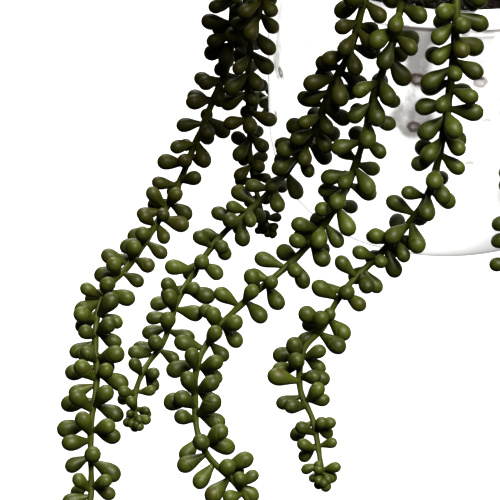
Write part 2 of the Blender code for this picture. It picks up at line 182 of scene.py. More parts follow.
# The stems' routes: (x, y, height) at the front, profiles of (distance to the pot's axis, height)
# elsewhere, and each short stem's (angle, count of its profile's points).
FRONT_ROUTES = (
    ((-62, 8, 140), (-66, 9, 151), (-80, 11, 159), (-97, 12, 152), (-106, 12, 132), (-110, 12, 106),
     (-112, 10, 77), (-121, 6, 55), (-128, 3, 37), (-134, 2, 23), (-140, -9, 11), (-146, -31, 9),
     (-153, -59, 9), (-161, -88, 9), (-170, -109, 9), (-174, -132, 9), (-173, -163, 9), (-170, -192, 9),
     (-170, -226, 9), (-168, -252, 9), (-166, -278, 9), (-169, -304, 9)),
    ((-57, -24, 140), (-62, -27, 151), (-75, -33, 159), (-89, -39, 151), (-95, -40, 130),
     (-99, -32, 113), (-101, -27, 98), (-102, -25, 74), (-101, -30, 58), (-101, -30, 40),
     (-98, -37, 25), (-95, -44, 15), (-91, -54, 10)),
    ((-29, -55, 140), (-32, -59, 151), (-40, -74, 159), (-48, -89, 151), (-54, -90, 126),
     (-63, -84, 102), (-69, -79, 80), (-81, -70, 54), (-93, -66, 36), (-106, -72, 26), (-118, -81, 18),
     (-128, -98, 11), (-136, -123, 9), (-141, -159, 9), (-147, -176, 9), (-151, -192, 9),
     (-152, -208, 9), (-151, -222, 9)),
    ((-16, -60, 140), (-19, -64, 151), (-26, -82, 159), (-32, -98, 151), (-36, -98, 129),
     (-42, -96, 108), (-47, -94, 80), (-51, -92, 63), (-57, -91, 46), (-69, -94, 28), (-81, -100, 16),
     (-94, -111, 10), (-108, -132, 9), (-120, -159, 9), (-126, -184, 9), (-125, -200, 9),
     (-125, -220, 9), (-122, -239, 9), (-114, -259, 9), (-104, -270, 9), (-101, -286, 9), (-99, -306, 9)),
    ((-4, -62, 140), (-4, -67, 151), (-5, -84, 159), (-7, -100, 152), (-7, -104, 135), (-8, -104, 114),
     (-9, -104, 96), (-11, -104, 80), (-14, -104, 61), (-20, -104, 47), (-28, -104, 35), (-37, -104, 24),
     (-44, -106, 17), (-54, -115, 11), (-61, -130, 9), (-65, -145, 9), (-75, -163, 9), (-79, -190, 9),
     (-78, -204, 9), (-74, -220, 9), (-72, -242, 9), (-71, -263, 9)),
)
LONG_ANGLES = (292, 322, 351, 20, 49, 79, 109, 140)
SHORT_STEMS = ((222, 4), (307, 6), (5, 5), (64, 6), (125, 5), (189, 6))
HANGING_PROFILE = ((62, 140), (66, 151), (82, 159), (98, 152), (104, 132), (105, 105), (105, 78),
                   (107, 52), (112, 32), (123, 16), (140, 9.5))
SHORT_PROFILE = ((54, 140), (58, 152), (76, 161), (94, 155), (103, 138), (105, 116))
ROUTE_SEED = 7
LEAF_SEED = 21
SWAY = 2.5
RUN_STEP = 22.0
RUN_STEPS = (1, 4)
RUN_DRIFT = 16.0
SPRIGS_AT_MOST = 10
SPRIG_HEIGHTS = (140, 149, 153, 152, 149, 146)
SPRIG_STEP = 11.0
SPRIG_FIRST_STEP = SPRIG_STEP / 3
SPRIG_BEND = 32.0
SPRIG_REACH = 50.0
SPRIG_CLEAR = 9.0
SPRIG_TRIES = 4000

# The finer leaf: a club, spun from its outline, as a coarse cage that one subdivision rounds. The
# outline runs from the leaf's end to its root, as (radius, height) of a leaf 1 long and 1 wide. The
# stem is a coarse tube that is rounded with it.
LEAF_SIDES = 7
LEAF_CAGE = ((0.0, 1.03), (0.27, 0.995), (0.53, 0.872), (0.585, 0.69), (0.46, 0.48), (0.27, 0.28),
             (0.165, 0.055), (0.0, 0.0))
LEAF_BEND = 0.10
LEAF_OVAL = (0.92, 1.04)
LEAF_LUMP = 0.05
STEM_SIDES = 6
STEM_SAMPLES = 4
STEM_CAGE_SWELL = 1.36
NODE_SWELL = 0.32
NODE_SWELL_LENGTH = 1.8
STEM_THINNING = 3
LOOK_SEED = 300

# How olive brown a stem's leaves are, and how far they are darkened for age and as painted shade: near
# its root, at its tip, and how far along the stem the first has turned into the second.
OLIVE = {"strand_01": (1.0, 0.12, 0.68), "strand_02": (0.7, 0.6, 1.0), "strand_03": (0.65, 0.05, 0.66),
         "strand_09": (0.8, 0.1, 0.55), "strand_12": (0.6, 0.1, 0.45)}
AGE_AND_SHADE = {"strand_01": (0.85, 0.0, 0.62), "strand_02": (0.75, 0.85, 1.0), "strand_03": (0.68, 0.0, 0.7),
        "strand_04": (0.42, 0.0, 0.5), "strand_09": (0.6, 0.0, 0.45), "strand_12": (0.5, 0.0, 0.45)}
PLAIN_TINT = (0.22, 0.03, 0.4)
TINT_EASE = 3
OLD_SPREAD = (-0.2, 0.15)
AGE_AND_SHADE_SPREAD = (-0.12, 0.12)

# What the meshes keep at each point for their finishes.
POT_LAYERS = ("pit", "stain", "pit_colour")
LEAF_LAYERS = ("along", "across", "tone", "old", "dark", "stem")

# The sizes of the marks in the finishes, and the seam over a leaf's end in shares of its length.
LEAF_MOTTLE = 2.8
LEAF_PATCH = 12.0
LEAF_BROWNING = 5.0
LEAF_WAVE = 4.5
LEAF_GRAIN = 0.9
SEAM_HEIGHT = 0.84
SEAM_SLANT = 0.22
GLAZE_STREAK = 14.0
STREAK_SQUEEZE = (1.0, 1.0, 0.35)
GLAZE_BLOTCH = 6.0
GLAZE_WAVE = 20.0
GLAZE_RIPPLE = 2.5
PIT_EDGE_WAVE = 2.2
GROOVE_SHADE_BELOW = 0.2
GROOVE_SHADE_FADE = (0.2, 1.2)
SOIL_PATCH = 15.0
SOIL_GRAIN = 2.2
SOIL_DUST = 0.7
FLOOR_CLOUD = 400.0
FLOOR_SHADE = 0.97

# The photograph's view: from the front, looking down, about the point that its middle shows.
VIEW_ELEVATION = 30.0
VIEW_DISTANCE = 900.0
VIEW_HALF_WIDTH = 130.0
VIEW_TARGET = (-101.0, -59.0, 0.0)

# The floor's mesh, and the collection that holds what the pot's own lights fall on.
FLOOR_STEPS = 64
FLOOR_CURVE_STEPS = 12
POT_LIGHT_ONLY = "lit_by_pot_light"

# Where the lights hang, as (azimuth, elevation, distance in metres) from the view's target. The
# pot's own have a share of their power each, the last for the light that the floor throws back.
KEY_LIGHT = (28.0, 58.0, 1.5)
BACK_LIGHT = (190.0, 42.0, 1.5)
POT_LIGHTS = (((-65.0, 6.0, 1.5), 1.0), ((110.0, 12.0, 1.5), 0.22), ((20.0, -14.0, 1.5), 0.35))


class Value:
    """A value in a material. Arithmetic on it adds Math nodes."""

    def __init__(self, look, socket):
        self.look = look
        self.socket = socket

    def math(self, operation, *others):
        return self.look.node("Math", {"operation": operation}, self, *others)

    def __add__(self, other):
        return self.math("ADD", other)

    def __sub__(self, other):
        return self.math("SUBTRACT", other)

    def __rsub__(self, other):
        return self.look.node("Math", {"operation": "SUBTRACT"}, other, self)

    def __mul__(self, other):
        return self.math("MULTIPLY", other)

    def __abs__(self):
        return self.math("ABSOLUTE")

    __radd__ = __add__
    __rmul__ = __mul__

    def rise(self, low, high):
        """0 below low, 1 above high, and smooth between them."""
        return self.look.node("MapRange", {"interpolation_type": "SMOOTHSTEP"}, self, low, high)


class Look:
    """A material, made by adding nodes in front of its shader."""

    def __init__(self, name):
        self.material = bpy.data.materials.new(name)
        self.material.use_nodes = True
        self.tree = self.material.node_tree
        self.shader = self.tree.nodes["Principled BSDF"]

    def join(self, socket, value):
        """Puts a number, a colour or a link in a socket."""
        if isinstance(value, Value):
            self.tree.links.new(value.socket, socket)
        elif socket.type == "RGBA":
            socket.default_value = (*value[:3], 1.0)
        else:
            socket.default_value = value

    def node(self, kind, settings, *values, output=None):
        """Adds a node: its settings, then its sockets' values in order, and the output it gives."""
        node = self.tree.nodes.new("ShaderNode" + kind)
        for name, setting in settings.items():
            setattr(node, name, setting)
        sockets = [socket for socket in node.inputs if socket.enabled]
        for socket, value in zip(sockets, values):
            if value is not None:
                self.join(socket, value)
        if output:
            return Value(self, node.outputs[output])
        return Value(self, next(socket for socket in node.outputs if socket.enabled))

    def attribute(self, name):
        """A number that the piece's own mesh carries at each point."""
        return self.node("Attribute", {"attribute_name": name}, output="Fac")

    def place(self):
        """The place on the piece."""
        return self.node("TexCoord", {}, output="Object")

    def clouds(self, size, detail=2.0, squeeze=(1.0, 1.0, 1.0)):
        """Soft noise from 0 to 1, with features of about this size, or longer where squeezed."""
        spot = self.node("VectorMath", {"operation": "MULTIPLY"}, self.place(), squeeze)
        return self.node("TexNoise", {}, spot, 1.0 / (size * MM), detail)

    def mix(self, share, first, second):
        """One colour turning into another."""
        return self.node("Mix", {"data_type": "RGBA"}, share, first, second)

    def bump(self, height, distance, strength):
        """A bump of the surface, as far as this distance where the height is 1."""
        return self.node("Bump", {}, strength, distance * MM, None, height)

    def finish(self, **sockets):
        """Sets the shader's own sockets."""
        for name, value in sockets.items():
            self.join(self.shader.inputs[name.replace("_", " ")], value)
        return self.material


def pearl_look(plant):
    """Waxy leaves and stems: mottled, olive brown where old, darkened for age and as painted shade, with
    a seam over some leaves' ends.
    """
    look = Look("waxy_leaf")
    along, across, tone, old, dark, stem = (look.attribute(layer) for layer in LEAF_LAYERS)
    mottle = look.clouds(LEAF_MOTTLE, 4.0)
    patches = look.clouds(LEAF_PATCH)
    green = look.mix((tone * 0.7 + patches * 0.5).rise(0.15, 0.95), plant.deep_green, plant.fresh_green)
    green = look.mix(mottle.rise(0.46, 0.74) * 0.5, green, plant.pale_green)
    green = look.mix(old * (0.45 + patches * 0.8), green, plant.olive_brown)
    browned = look.clouds(LEAF_BROWNING).rise(0.50, 0.72) * (tone + old * 0.4).rise(0.35, 0.95)
    green = look.mix(browned * 0.75, green, plant.brown_patch)
    bark = look.mix(mottle.rise(0.4, 0.7) * 0.3 + old * 0.4, plant.stem_green, plant.olive_brown)
    colour = look.mix(stem, green, bark)
    # About three leaves in ten have a seam, picked by their tone, which fades out on one side.
    seam_there = (tone * 7.0).math("FRACT").rise(0.68, 0.73) * (1.0 - stem) * across.rise(-0.6, 0.0)
    to_seam = along + across * SEAM_SLANT - SEAM_HEIGHT
    seam = (1.0 - abs(to_seam).rise(0.005, 0.05)) * seam_there
    seam_highlight = (1.0 - abs(to_seam + 0.06).rise(0.01, 0.06)) * seam_there
    # The seam's crease is darkened as painted shade, and a strip next to it is lightened as a painted
    # highlight.
    colour = look.mix(seam * 0.35, colour, plant.shade_green)
    colour = look.mix(seam_highlight * 0.35, colour, plant.pale_green)
    # Leaves and stems are darkened towards the shaded green, for age and as painted shade.
    colour = look.mix(dark * (0.8 - stem * 0.45), colour, plant.shade_green)
    waves = look.clouds(LEAF_WAVE) * 0.6 + look.clouds(LEAF_GRAIN) * 0.12
    relief = look.bump(waves - seam * 0.6, distance=0.4, strength=0.55)
    # Leaves darkened for age and as painted shade keep little of the coat's gloss.
    return look.finish(Base_Color=colour, Roughness=0.45 + mottle * 0.15, Normal=relief,
                       Specular_IOR_Level=0.06, Coat_Weight=(1.0 - dark) * (0.42 - stem * 0.3),
                       Coat_Roughness=0.48)


def glaze_look(pot):
    """White glaze, thick and glossy, with brown-edged pits, greyed as painted shade and reflection in
    streaks, under the groove and round the pits.
    """
    look = Look("white_glaze")
    pit, stain, hue = (look.attribute(layer) for layer in POT_LAYERS)
    streaks = look.clouds(GLAZE_STREAK, 3.0, STREAK_SQUEEZE)
    # The glaze is greyed in patches and streaks as painted shade and reflection.
    shade_patches = (stain * (streaks * 1.4 - look.clouds(GLAZE_BLOTCH, 3.0) * 0.8 + 0.65)).rise(0.05, 0.85)
    wall = look.mix(shade_patches + streaks.rise(0.62, 0.85) * 0.15, pot.glaze, pot.glaze_shade)
    # The groove's crease is darkened as painted shade, more where the glaze is greyed.
    near, far = GROOVE_SHADE_FADE
    height = look.node("SeparateXYZ", {}, look.place(), output="Z")
    to_groove_shade = height - (GROOVE_HEIGHT - GROOVE_SHADE_BELOW) * MM
    groove_shade = 1.0 - abs(to_groove_shade).rise(near * MM, far * MM)
    wall = look.mix(groove_shade * (0.15 + stain * streaks * 0.9), wall, pot.pit_rim_and_groove_shade)
    uneven = look.clouds(PIT_EDGE_WAVE, 3.0) * 0.5
    # Each pit's hollow is greyed as painted shade.
    wall = look.mix((pit + uneven * 0.6).rise(0.15, 0.7) * hue * 0.6, wall, pot.glaze_shade)
    edge = (1.0 - abs(pit + uneven - 0.86).rise(0.10, 0.46)) * hue
    middle = (pit + uneven).rise(0.98, 1.35) * hue
    colour = look.mix(edge * 0.95, wall, pot.pit_rim_and_groove_shade)
    colour = look.mix(middle * 0.75, colour, pot.pit_middle)
    waves = look.clouds(GLAZE_WAVE) + look.clouds(GLAZE_RIPPLE) * 0.04
    relief = look.bump(waves, distance=0.6, strength=0.35)
    return look.finish(Base_Color=colour, Roughness=0.09 + middle * 0.4, Normal=relief)


def soil_look(pot, name):
    """Dark, crumbly potting soil, and the pale grains in it."""
    look = Look(name)
    grain = look.clouds(SOIL_GRAIN, 4.0)
    patch = look.clouds(SOIL_PATCH)
    colour = look.mix((grain * 0.8 + patch * 0.3).rise(0.42, 0.70), pot.wet_soil, pot.dry_soil)
    colour = look.mix(look.attribute("pale"), colour, pot.pale_grain)
    relief = look.bump(grain + look.clouds(SOIL_DUST) * 0.4, distance=1.2, strength=0.8)
    return look.finish(Base_Color=colour, Roughness=0.88 + grain * 0.1, Normal=relief,
                       Specular_IOR_Level=0.12)


def floor_look(settings):
    """The plain floor's paint, lit a little from inside as a light table is."""
    look = Look("floor_paint")
    paint = tuple(settings.floor)
    shade = tuple(value * FLOOR_SHADE for value in paint)
    tint = look.mix(look.clouds(FLOOR_CLOUD) * 0.2, paint, shade)
    return look.finish(Base_Color=tint, Roughness=1.0, Specular_IOR_Level=0.0,
                       Emission_Color=(1.0, 1.0, 1.0), Emission_Strength=settings.floor_glow)


def add_piece(name, shape, look, node=None, stage=False):
    """A mesh as a piece at the origin, which rides on the body unless it belongs to the stage, and stands
    for its node if it is given one.
    """
    mesh = bpy.data.meshes.new(name)
    shape.to_mesh(mesh)
    shape.free()
    mesh.shade_smooth()
    mesh.materials.append(look)
    piece = bpy.data.objects.new(name, mesh)
    bpy.context.scene.collection.objects.link(piece)
    if stage:
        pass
    else:
        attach(piece, "root")
    if node:
        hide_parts(node)
    return piece


def round_cage(piece, levels):
    """Rounds a coarse cage."""
    rounding = piece.modifiers.new("rounding", "SUBSURF")
    rounding.levels = levels
    rounding.render_levels = levels


def held(value):
    """The value, held between 0 and 1."""
    return min(1.0, max(0.0, value))


def bell(apart, width, power=2):
    """1 where apart is 0, falling smoothly to a third at a width and nearly 0 at two."""
    return math.exp(-((apart / width) ** power))


def polar(radius, angle, height):
    """A point from its distance to the pot's axis, its angle in degrees and its height."""
    turn = math.radians(angle)
    return Vector((radius * math.cos(turn), radius * math.sin(turn), height))


def spun(shape, outline, steps, unit=MM):
    """Spins an outline of (radius, height) round Z to a closed shape."""
    verts = [shape.verts.new((radius * unit, 0.0, height * unit)) for radius, height in outline]
    edges = [shape.edges.new(pair) for pair in zip(verts, verts[1:])]
    bmesh.ops.spin(shape, geom=verts + edges, cent=(0, 0, 0), axis=(0, 0, 1), angle=2 * math.pi,
                   steps=steps, use_merge=True)
    bmesh.ops.remove_doubles(shape, verts=shape.verts, dist=MERGE_DISTANCE)
    bmesh.ops.recalc_face_normals(shape, faces=shape.faces)


def quarter(flat_radius, side_radius, bottom, top, steps):
    """A quarter of an ellipse, from the upright side down to the flat bottom, as (radius, height)."""
    arc = []
    for step in range(steps + 1):
        angle = math.pi / 2 * step / steps
        radius = flat_radius + (side_radius - flat_radius) * math.cos(angle)
        arc.append((radius, top - (top - bottom) * math.sin(angle)))
    return arc


def lip_arc(angles):
    """Points on the rolled lip at these angles round its middle, as (radius, height)."""
    radius, height = LIP_MIDDLE
    return [(radius + LIP_RADIUS * math.cos(turn), height + LIP_RADIUS * math.sin(turn))
            for turn in map(math.radians, angles)]


def wall_radius(height):
    """The radius of the wall above its curved foot, gently full between the foot and the shoulder."""
    if height >= SHOULDER_HEIGHT:
        share = (height - SHOULDER_HEIGHT) / (WALL_TOP - SHOULDER_HEIGHT)
        return WALL_RADIUS + (SHOULDER_RADIUS - WALL_RADIUS) * share ** 2
    share = (height - CURVE_HEIGHT) / (SHOULDER_HEIGHT - CURVE_HEIGHT)
    return SHOULDER_RADIUS + (WALL_RADIUS - SHOULDER_RADIUS) * (1.0 - (1.0 - share) ** 2)


def pot_outline():
    """The pot's outline: up its inside, over the rolled lip, down its outside and in under its foot."""
    inner_foot = FOOT_RADIUS - FLOOR_THICKNESS
    floor = [(inner_foot * ring / INSIDE_RINGS, FLOOR_THICKNESS) for ring in range(INSIDE_RINGS)]
    inside = quarter(inner_foot, INSIDE_RADIUS, FLOOR_THICKNESS, CURVE_HEIGHT, INSIDE_STEPS)
    lip = lip_arc(180.0 - LIP_ROLL * step / LIP_STEPS for step in range(LIP_STEPS + 1))
    groove = [(WALL_RADIUS - GROOVE_DEPTH, GROOVE_HEIGHT),
              (WALL_RADIUS - GROOVE_BEND_DEPTH, GROOVE_HEIGHT - GROOVE_BEND_BELOW),
              (SHOULDER_RADIUS - SHOULDER_EASE, WALL_TOP + SHOULDER_EASE)]
    rows = round((WALL_TOP - CURVE_HEIGHT) / POT_ROW)
    heights = [WALL_TOP + (CURVE_HEIGHT - WALL_TOP) * row / rows for row in range(rows)]
    wall = [(wall_radius(height), height) for height in heights]
    below = quarter(FOOT_RADIUS, SHOULDER_RADIUS, 0.0, CURVE_HEIGHT, CURVE_STEPS)
    return floor + inside[::-1] + lip + groove + wall + below + [(0.0, 0.0)]


def pit_places():
    """Every pit as (angle, height, width, colour): the front's own, and loose rows round the rest."""
    draw = random.Random(PIT_SEED)
    pits = list(FRONT_PITS)
    for height, count in PIT_ROWS:
        for number in range(count):
            angle = (360.0 * number / count + draw.uniform(-PIT_SPREAD_ANGLE, PIT_SPREAD_ANGLE)) % 360.0
            spot = (angle, height + draw.uniform(-PIT_SPREAD_HEIGHT, PIT_SPREAD_HEIGHT),
                    draw.uniform(*PIT_WIDTHS), draw.uniform(*PIT_COLOURS))
            if not FRONT_SECTOR[0] < angle < FRONT_SECTOR[1]:
                pits.append(spot)
    return pits


def painted_shade_at(point, streak):
    """How far painted shade and reflection grey the glaze at a point on the wall, by the place where a
    pit's streak ends.
    """
    aside = (point.xy - streak.xy).length / MM
    below = (streak.z - point.z) / MM
    stain = bell(aside, SHADE_STREAK_WIDTH) * bell(max(0.0, below), SHADE_STREAK_FALL)
    if streak.z > TOP_PITS_ABOVE * MM:
        stain += bell(aside, RIM_SHADOW_WIDTH) * bell(GROOVE_HEIGHT - point.z / MM, RIM_SHADOW_HEIGHT)
    else:
        stain += bell(aside, PIT_SHADE_WIDTH) * bell(below + PIT_SHADE_ABOVE, PIT_SHADE_HEIGHT)
    return min(1.0, stain)


def press_pits(shape):
    """Presses the pits into the wall, and keeps what the glaze's finish reads at each point."""
    pit_layer, painted_shade_layer, hue_layer = (shape.verts.layers.float.new(name) for name in POT_LAYERS)
    pits = [(polar(WALL_RADIUS, angle, height) * MM, width * MM, hue)
            for angle, height, width, hue in pit_places()]
    streaks = [(polar(WALL_RADIUS, angle - SHADE_STREAK_SHIFT, height) * MM, hue)
               for angle, height, _, hue in pit_places()]
    for vert in shape.verts:
        if vert.co.xy.length < OUTSIDE_FROM * MM:
            continue
        inward = Vector((-vert.co.x, -vert.co.y, 0.0)).normalized()
        if vert.co.z < GROOVE_HEIGHT * MM:
            # How far painted shade and reflection grey the glaze there.
            vert[painted_shade_layer] = max(hue ** 2 * painted_shade_at(vert.co, streak) for streak, hue in streaks)
        for middle, width, hue in pits:
            offset = vert.co - middle
            offset.z *= PIT_OVAL
            apart = offset.length / width
            if apart < PIT_REACH:
                core = PIT_CORE_SHARE * bell(apart, PIT_CORE, 4)
                hollow = PIT_HOLLOW_SHARE * bell(apart, PIT_HOLLOW)
                vert.co += inward * (PIT_DEPTH * MM * (core + hollow))
                vert[pit_layer] = max(vert[pit_layer], bell(apart, PIT_COLOUR_WIDTH, 3))
                vert[hue_layer] = hue


def hanging_route(angle, draw):
    """A stem over the rim, down the wall and out along the surface, turning a little as it goes."""
    points = []
    sway = 0.0
    for radius, height in HANGING_PROFILE:
        points.append(polar(radius, angle + sway, height))
        sway += draw.uniform(-SWAY, SWAY)
    heading = angle + sway + draw.uniform(-RUN_DRIFT, RUN_DRIFT)
    bend = draw.uniform(-RUN_DRIFT, RUN_DRIFT)
    for _ in range(draw.randint(*RUN_STEPS)):
        points.append(points[-1] + polar(RUN_STEP, heading, 0.0))
        points[-1].z = STEM_CLEAR_OF_SURFACE
        heading += bend
    return points


def sprig_route(draw):
    """A short stem that lies in a low arch over the soil, from a drawn place and on a drawn heading."""
    point = polar(SPRIG_REACH * math.sqrt(draw.random()), draw.uniform(0.0, 360.0), 0.0)
    heading = draw.uniform(0.0, 360.0)
    points = []
    for height in SPRIG_HEIGHTS:
        points.append(Vector((point.x, point.y, height)))
        point = point + polar(SPRIG_STEP if points[1:] else SPRIG_FIRST_STEP, heading, 0.0)
        heading += draw.uniform(-SPRIG_BEND, SPRIG_BEND)
    return points


def crown_routes(taken, draw):
    """The sprigs that find room in the middle of the pot, clear of the stems there and each other."""
    sprigs = []
    for _ in range(SPRIG_TRIES):
        points = sprig_route(draw)
        inside = all(math.hypot(point.x, point.y) < SPRIG_REACH for point in points)
        if inside and all((point - other).length > SPRIG_CLEAR for point in points for other in taken):
            sprigs.append(points)
            taken = taken + points
        if len(sprigs) == SPRIGS_AT_MOST:
            break
    return sprigs


def routes():
    """Every stem's name and the points along it, in the order in which the leaves are placed."""
    draw = random.Random(ROUTE_SEED)
    strands = [[Vector(point) for point in points] for points in FRONT_ROUTES]
    strands += [hanging_route(angle, draw) for angle in LONG_ANGLES]
    short_strands = [[polar(radius, angle, height) for radius, height in SHORT_PROFILE[:count]]
                     for angle, count in SHORT_STEMS]
    taken = [point for points in strands + short_strands for point in points]
    sprigs = crown_routes(taken, draw)
    kinds = {"strand": strands, "short_strand": short_strands, "crown_sprig": sprigs}
    return {f"{kind}_{number:02d}": points for kind, group in kinds.items()
            for number, points in enumerate(group, 1)}


def smooth_curve(points, samples):
    """Points along a smooth curve through a route's own points."""
    ends = [points[0] * 2 - points[1]] + points + [points[-1] * 2 - points[-2]]
    curve = []
    for a, b, c, d in zip(ends, ends[1:], ends[2:], ends[3:]):
        for sample in range(samples):
            t = sample / samples
            curve.append((b * 2 + (c - a) * t + (a * 2 - b * 5 + c * 4 - d) * t ** 2
                          + (b * 3 - a - c * 3 + d) * t ** 3) * 0.5)
    return curve + [points[-1]]


def whorl_step(point, to_tip):
    """How far apart the whorls sit there: wider where the stem lies, and closer near its tip."""
    lying = held((LYING_BELOW - point.z) / (LYING_BELOW - STEM_CLEAR_OF_SURFACE))
    near_tip = max(0.0, 1.0 - to_tip / TIP_TAPER_LENGTH)
    step = HANGING_STEP + (LYING_STEP - HANGING_STEP) * lying
    return step * (1.0 - (1.0 - TIP_STEP_SHARE) * near_tip)


def stem_nodes(points):
    """The stem's nodes, one a whorl along its route, with its foot upright in its hole below them."""
    curve = smooth_curve(points, CURVE_SAMPLES)
    spans = [(b - a).length for a, b in zip(curve, curve[1:])]
    to_tip = sum(spans)
    passed = [0.0]
    for point, span in zip(curve, spans):
        passed.append(passed[-1] + span / whorl_step(point, to_tip))
        to_tip -= span
    count = round(passed[-1])
    nodes = [Vector((points[0].x, points[0].y, SOIL_TOP - HOLE_DEPTH + TOUCHING_GAP))]
    for number in range(count):
        wanted = passed[-1] * number / count
        before = bisect.bisect_right(passed, wanted) - 1
        share = (wanted - passed[before]) / (passed[before + 1] - passed[before])
        nodes.append(curve[before].lerp(curve[before + 1], share))
    nodes.append(points[-1].copy())
    return nodes


def clearance_outline():
    """The soil, the lip and the pot's outside, as the stems' solids keep clear of them."""
    soil = [(0.0, SOIL_TOP), (INSIDE_RADIUS, SOIL_TOP)]
    outside = [(WALL_RADIUS - GROOVE_DEPTH, GROOVE_HEIGHT), (SHOULDER_RADIUS, WALL_TOP),
               (WALL_RADIUS, SHOULDER_HEIGHT)]
    below = quarter(FOOT_RADIUS, SHOULDER_RADIUS, 0.0, CURVE_HEIGHT, CLEAR_CURVE_STEPS)
    return [Vector(point) for point in soil + lip_arc(CLEAR_LIP_ANGLES) + outside + below]


def distance_to_outline(point, outline):
    """How far a point lies from the pot and its soil, seen in the half plane through the pot's axis."""
    here = Vector((math.hypot(point.x, point.y), point.z))
    nearest = math.inf
    for start, end in zip(outline, outline[1:]):
        along = end - start
        share = held((here - start).dot(along) / along.length_squared)
        nearest = min(nearest, (here - start - along * share).length)
    return nearest


class Room:
    """The room that is taken by stems and leaves, as balls in cells, and by the pot and its soil."""

    def __init__(self):
        self.cells = {}
        self.outline = clearance_outline()

    def cell(self, point):
        return tuple(math.floor(value / CELL) for value in point)

    def take(self, balls, owner):
        """Marks balls, as (middle, radius), as taken by an owner."""
        for middle, radius in balls:
            self.cells.setdefault(self.cell(middle), []).append((middle, radius, owner))

    def free(self, balls, own_stem):
        """Whether balls are clear of the pot, the soil, the surface, the leaves and all other stems."""
        for middle, radius in balls:
            if middle.z < radius + LEAF_CLEARANCE:
                return False
            if distance_to_outline(middle, self.outline) < radius + LEAF_CLEARANCE:
                return False
            cell = self.cell(middle)
            for step in itertools.product((-1, 0, 1), repeat=3):
                key = tuple(value + more for value, more in zip(cell, step))
                for other, other_radius, owner in self.cells.get(key, ()):
                    apart = radius + other_radius + LEAF_CLEARANCE
                    if owner != own_stem and (other - middle).length < apart:
                        return False
        return True


def leaf_balls(root, direction, length, width):
    """A leaf as balls along it."""
    return [(root + direction * (length * along), width * radius) for along, radius in BALLS]


def leaf_direction(tangent, away, turn, lean):
    """A leaf's direction: turned round the stem from the side, leaning towards the stem's tip."""
    side = tangent.cross(away).normalized()
    around = Matrix.Rotation(math.radians(turn), 3, tangent) @ side
    lean = math.radians(lean)
    return (around * math.sin(lean) + tangent * math.cos(lean)).normalized()


def away_from_pot(point, tangent):
    """The direction across the stem that points up and away from the pot."""
    outward = Vector((point.x, point.y, 0.0)).normalized() + Vector((0.0, 0.0, 1.0))
    return (outward - tangent * outward.dot(tangent)).normalized()


def place_whorls(name, nodes, room, draw):
    """The leaves of one stem's whorls, each turned or leant aside where its first place isn't free."""
    leaves = []
    spans = [(b - a).length for a, b in zip(nodes, nodes[1:])]
    for whorl in range(FIRST_WHORL, len(nodes) - 1):
        node = nodes[whorl]
        tangent = (nodes[whorl + 1] - node).normalized()
        away = away_from_pot(node, tangent)
        share = min(1.0, TIP_SHARE + (1.0 - TIP_SHARE) * sum(spans[whorl + 1:]) / TIP_TAPER_LENGTH)
        share *= 1.0 + OLD_LEAF_SHARE * (1.0 - whorl / (len(nodes) - 1))
        count = draw.choice(WHORL_SIZES)
        shift = draw.uniform(0.0, WHORL_SHIFT)
        for place in range(count):
            turn = 360.0 * (place + whorl % 2 / 2) / count + draw.uniform(-WHORL_JITTER, WHORL_JITTER)
            lean = LEAF_LEAN + draw.uniform(-LEAF_LEAN_SPREAD, LEAF_LEAN_SPREAD)
            size = share * (1.0 + draw.uniform(-LEAF_SIZE_SPREAD, LEAF_SIZE_SPREAD))
            root = node + tangent * ((shift + WHORL_STAGGER * place) * spans[whorl])
            length, width = LEAF_LENGTH * size, LEAF_WIDTH * size
            for tip, aside in itertools.product(EXTRA_LEANS, TURNS):
                direction = leaf_direction(tangent, away, turn + aside, lean + tip)
                balls = leaf_balls(root, direction, length, width)
                if room.free(balls, name):
                    room.take(balls, name + " leaf")
                    leaves.append(Leaf(whorl, root, direction, length, width))
                    break
    return leaves


def place_rosette(nodes, draw):
    """The small leaves round a stem's tip, in the same form as its whorls."""
    tangent = (nodes[-1] - nodes[-2]).normalized()
    away = away_from_pot(nodes[-1], tangent)
    leaves = []
    for place, lean in enumerate(ROSETTE_LEANS):
        direction = leaf_direction(tangent, away, ROSETTE_TURN * place, lean)
        size = 1.0 + draw.uniform(-LEAF_SIZE_SPREAD, LEAF_SIZE_SPREAD)
        length, width = ROSETTE_LENGTH * size, ROSETTE_WIDTH * size
        root = nodes[-1] - tangent * (ROSETTE_RISE * (len(ROSETTE_LEANS) - place))
        balls = leaf_balls(root, direction, length, width)
        if all(middle.z > radius + LEAF_CLEARANCE for middle, radius in balls):
            leaves.append(Leaf(len(nodes) - 1, root, direction, length, width))
    return leaves


def all_leaves(stems):
    """Every stem's whorls and rosette, each placed clear of all that was placed before it."""
    room = Room()
    for name, nodes in stems.items():
        for start, end in zip(nodes, nodes[1:]):
            balls = [(start.lerp(end, i / STRETCH_BALLS), STEM_RADIUS) for i in range(STRETCH_BALLS)]
            room.take(balls, name)
        tip = nodes[-1] + (nodes[-1] - nodes[-2]).normalized() * ROSETTE_AHEAD
        room.take([(tip, ROSETTE_LENGTH)], name)
    leaves = {}
    for number, (name, nodes) in enumerate(stems.items()):
        draw = random.Random(LEAF_SEED + number)
        whorls = place_whorls(name, nodes, room, draw)
        leaves[name] = whorls + place_rosette(nodes, draw)
    return leaves


def leaf_pattern():
    """One leaf, 1 long and 1 wide once it is rounded, as a closed cage along +Z."""
    shape = bmesh.new()
    spun(shape, LEAF_CAGE, LEAF_SIDES, unit=1.0)
    mesh = bpy.data.meshes.new("leaf_pattern")
    shape.to_mesh(mesh)
    shape.free()
    return mesh


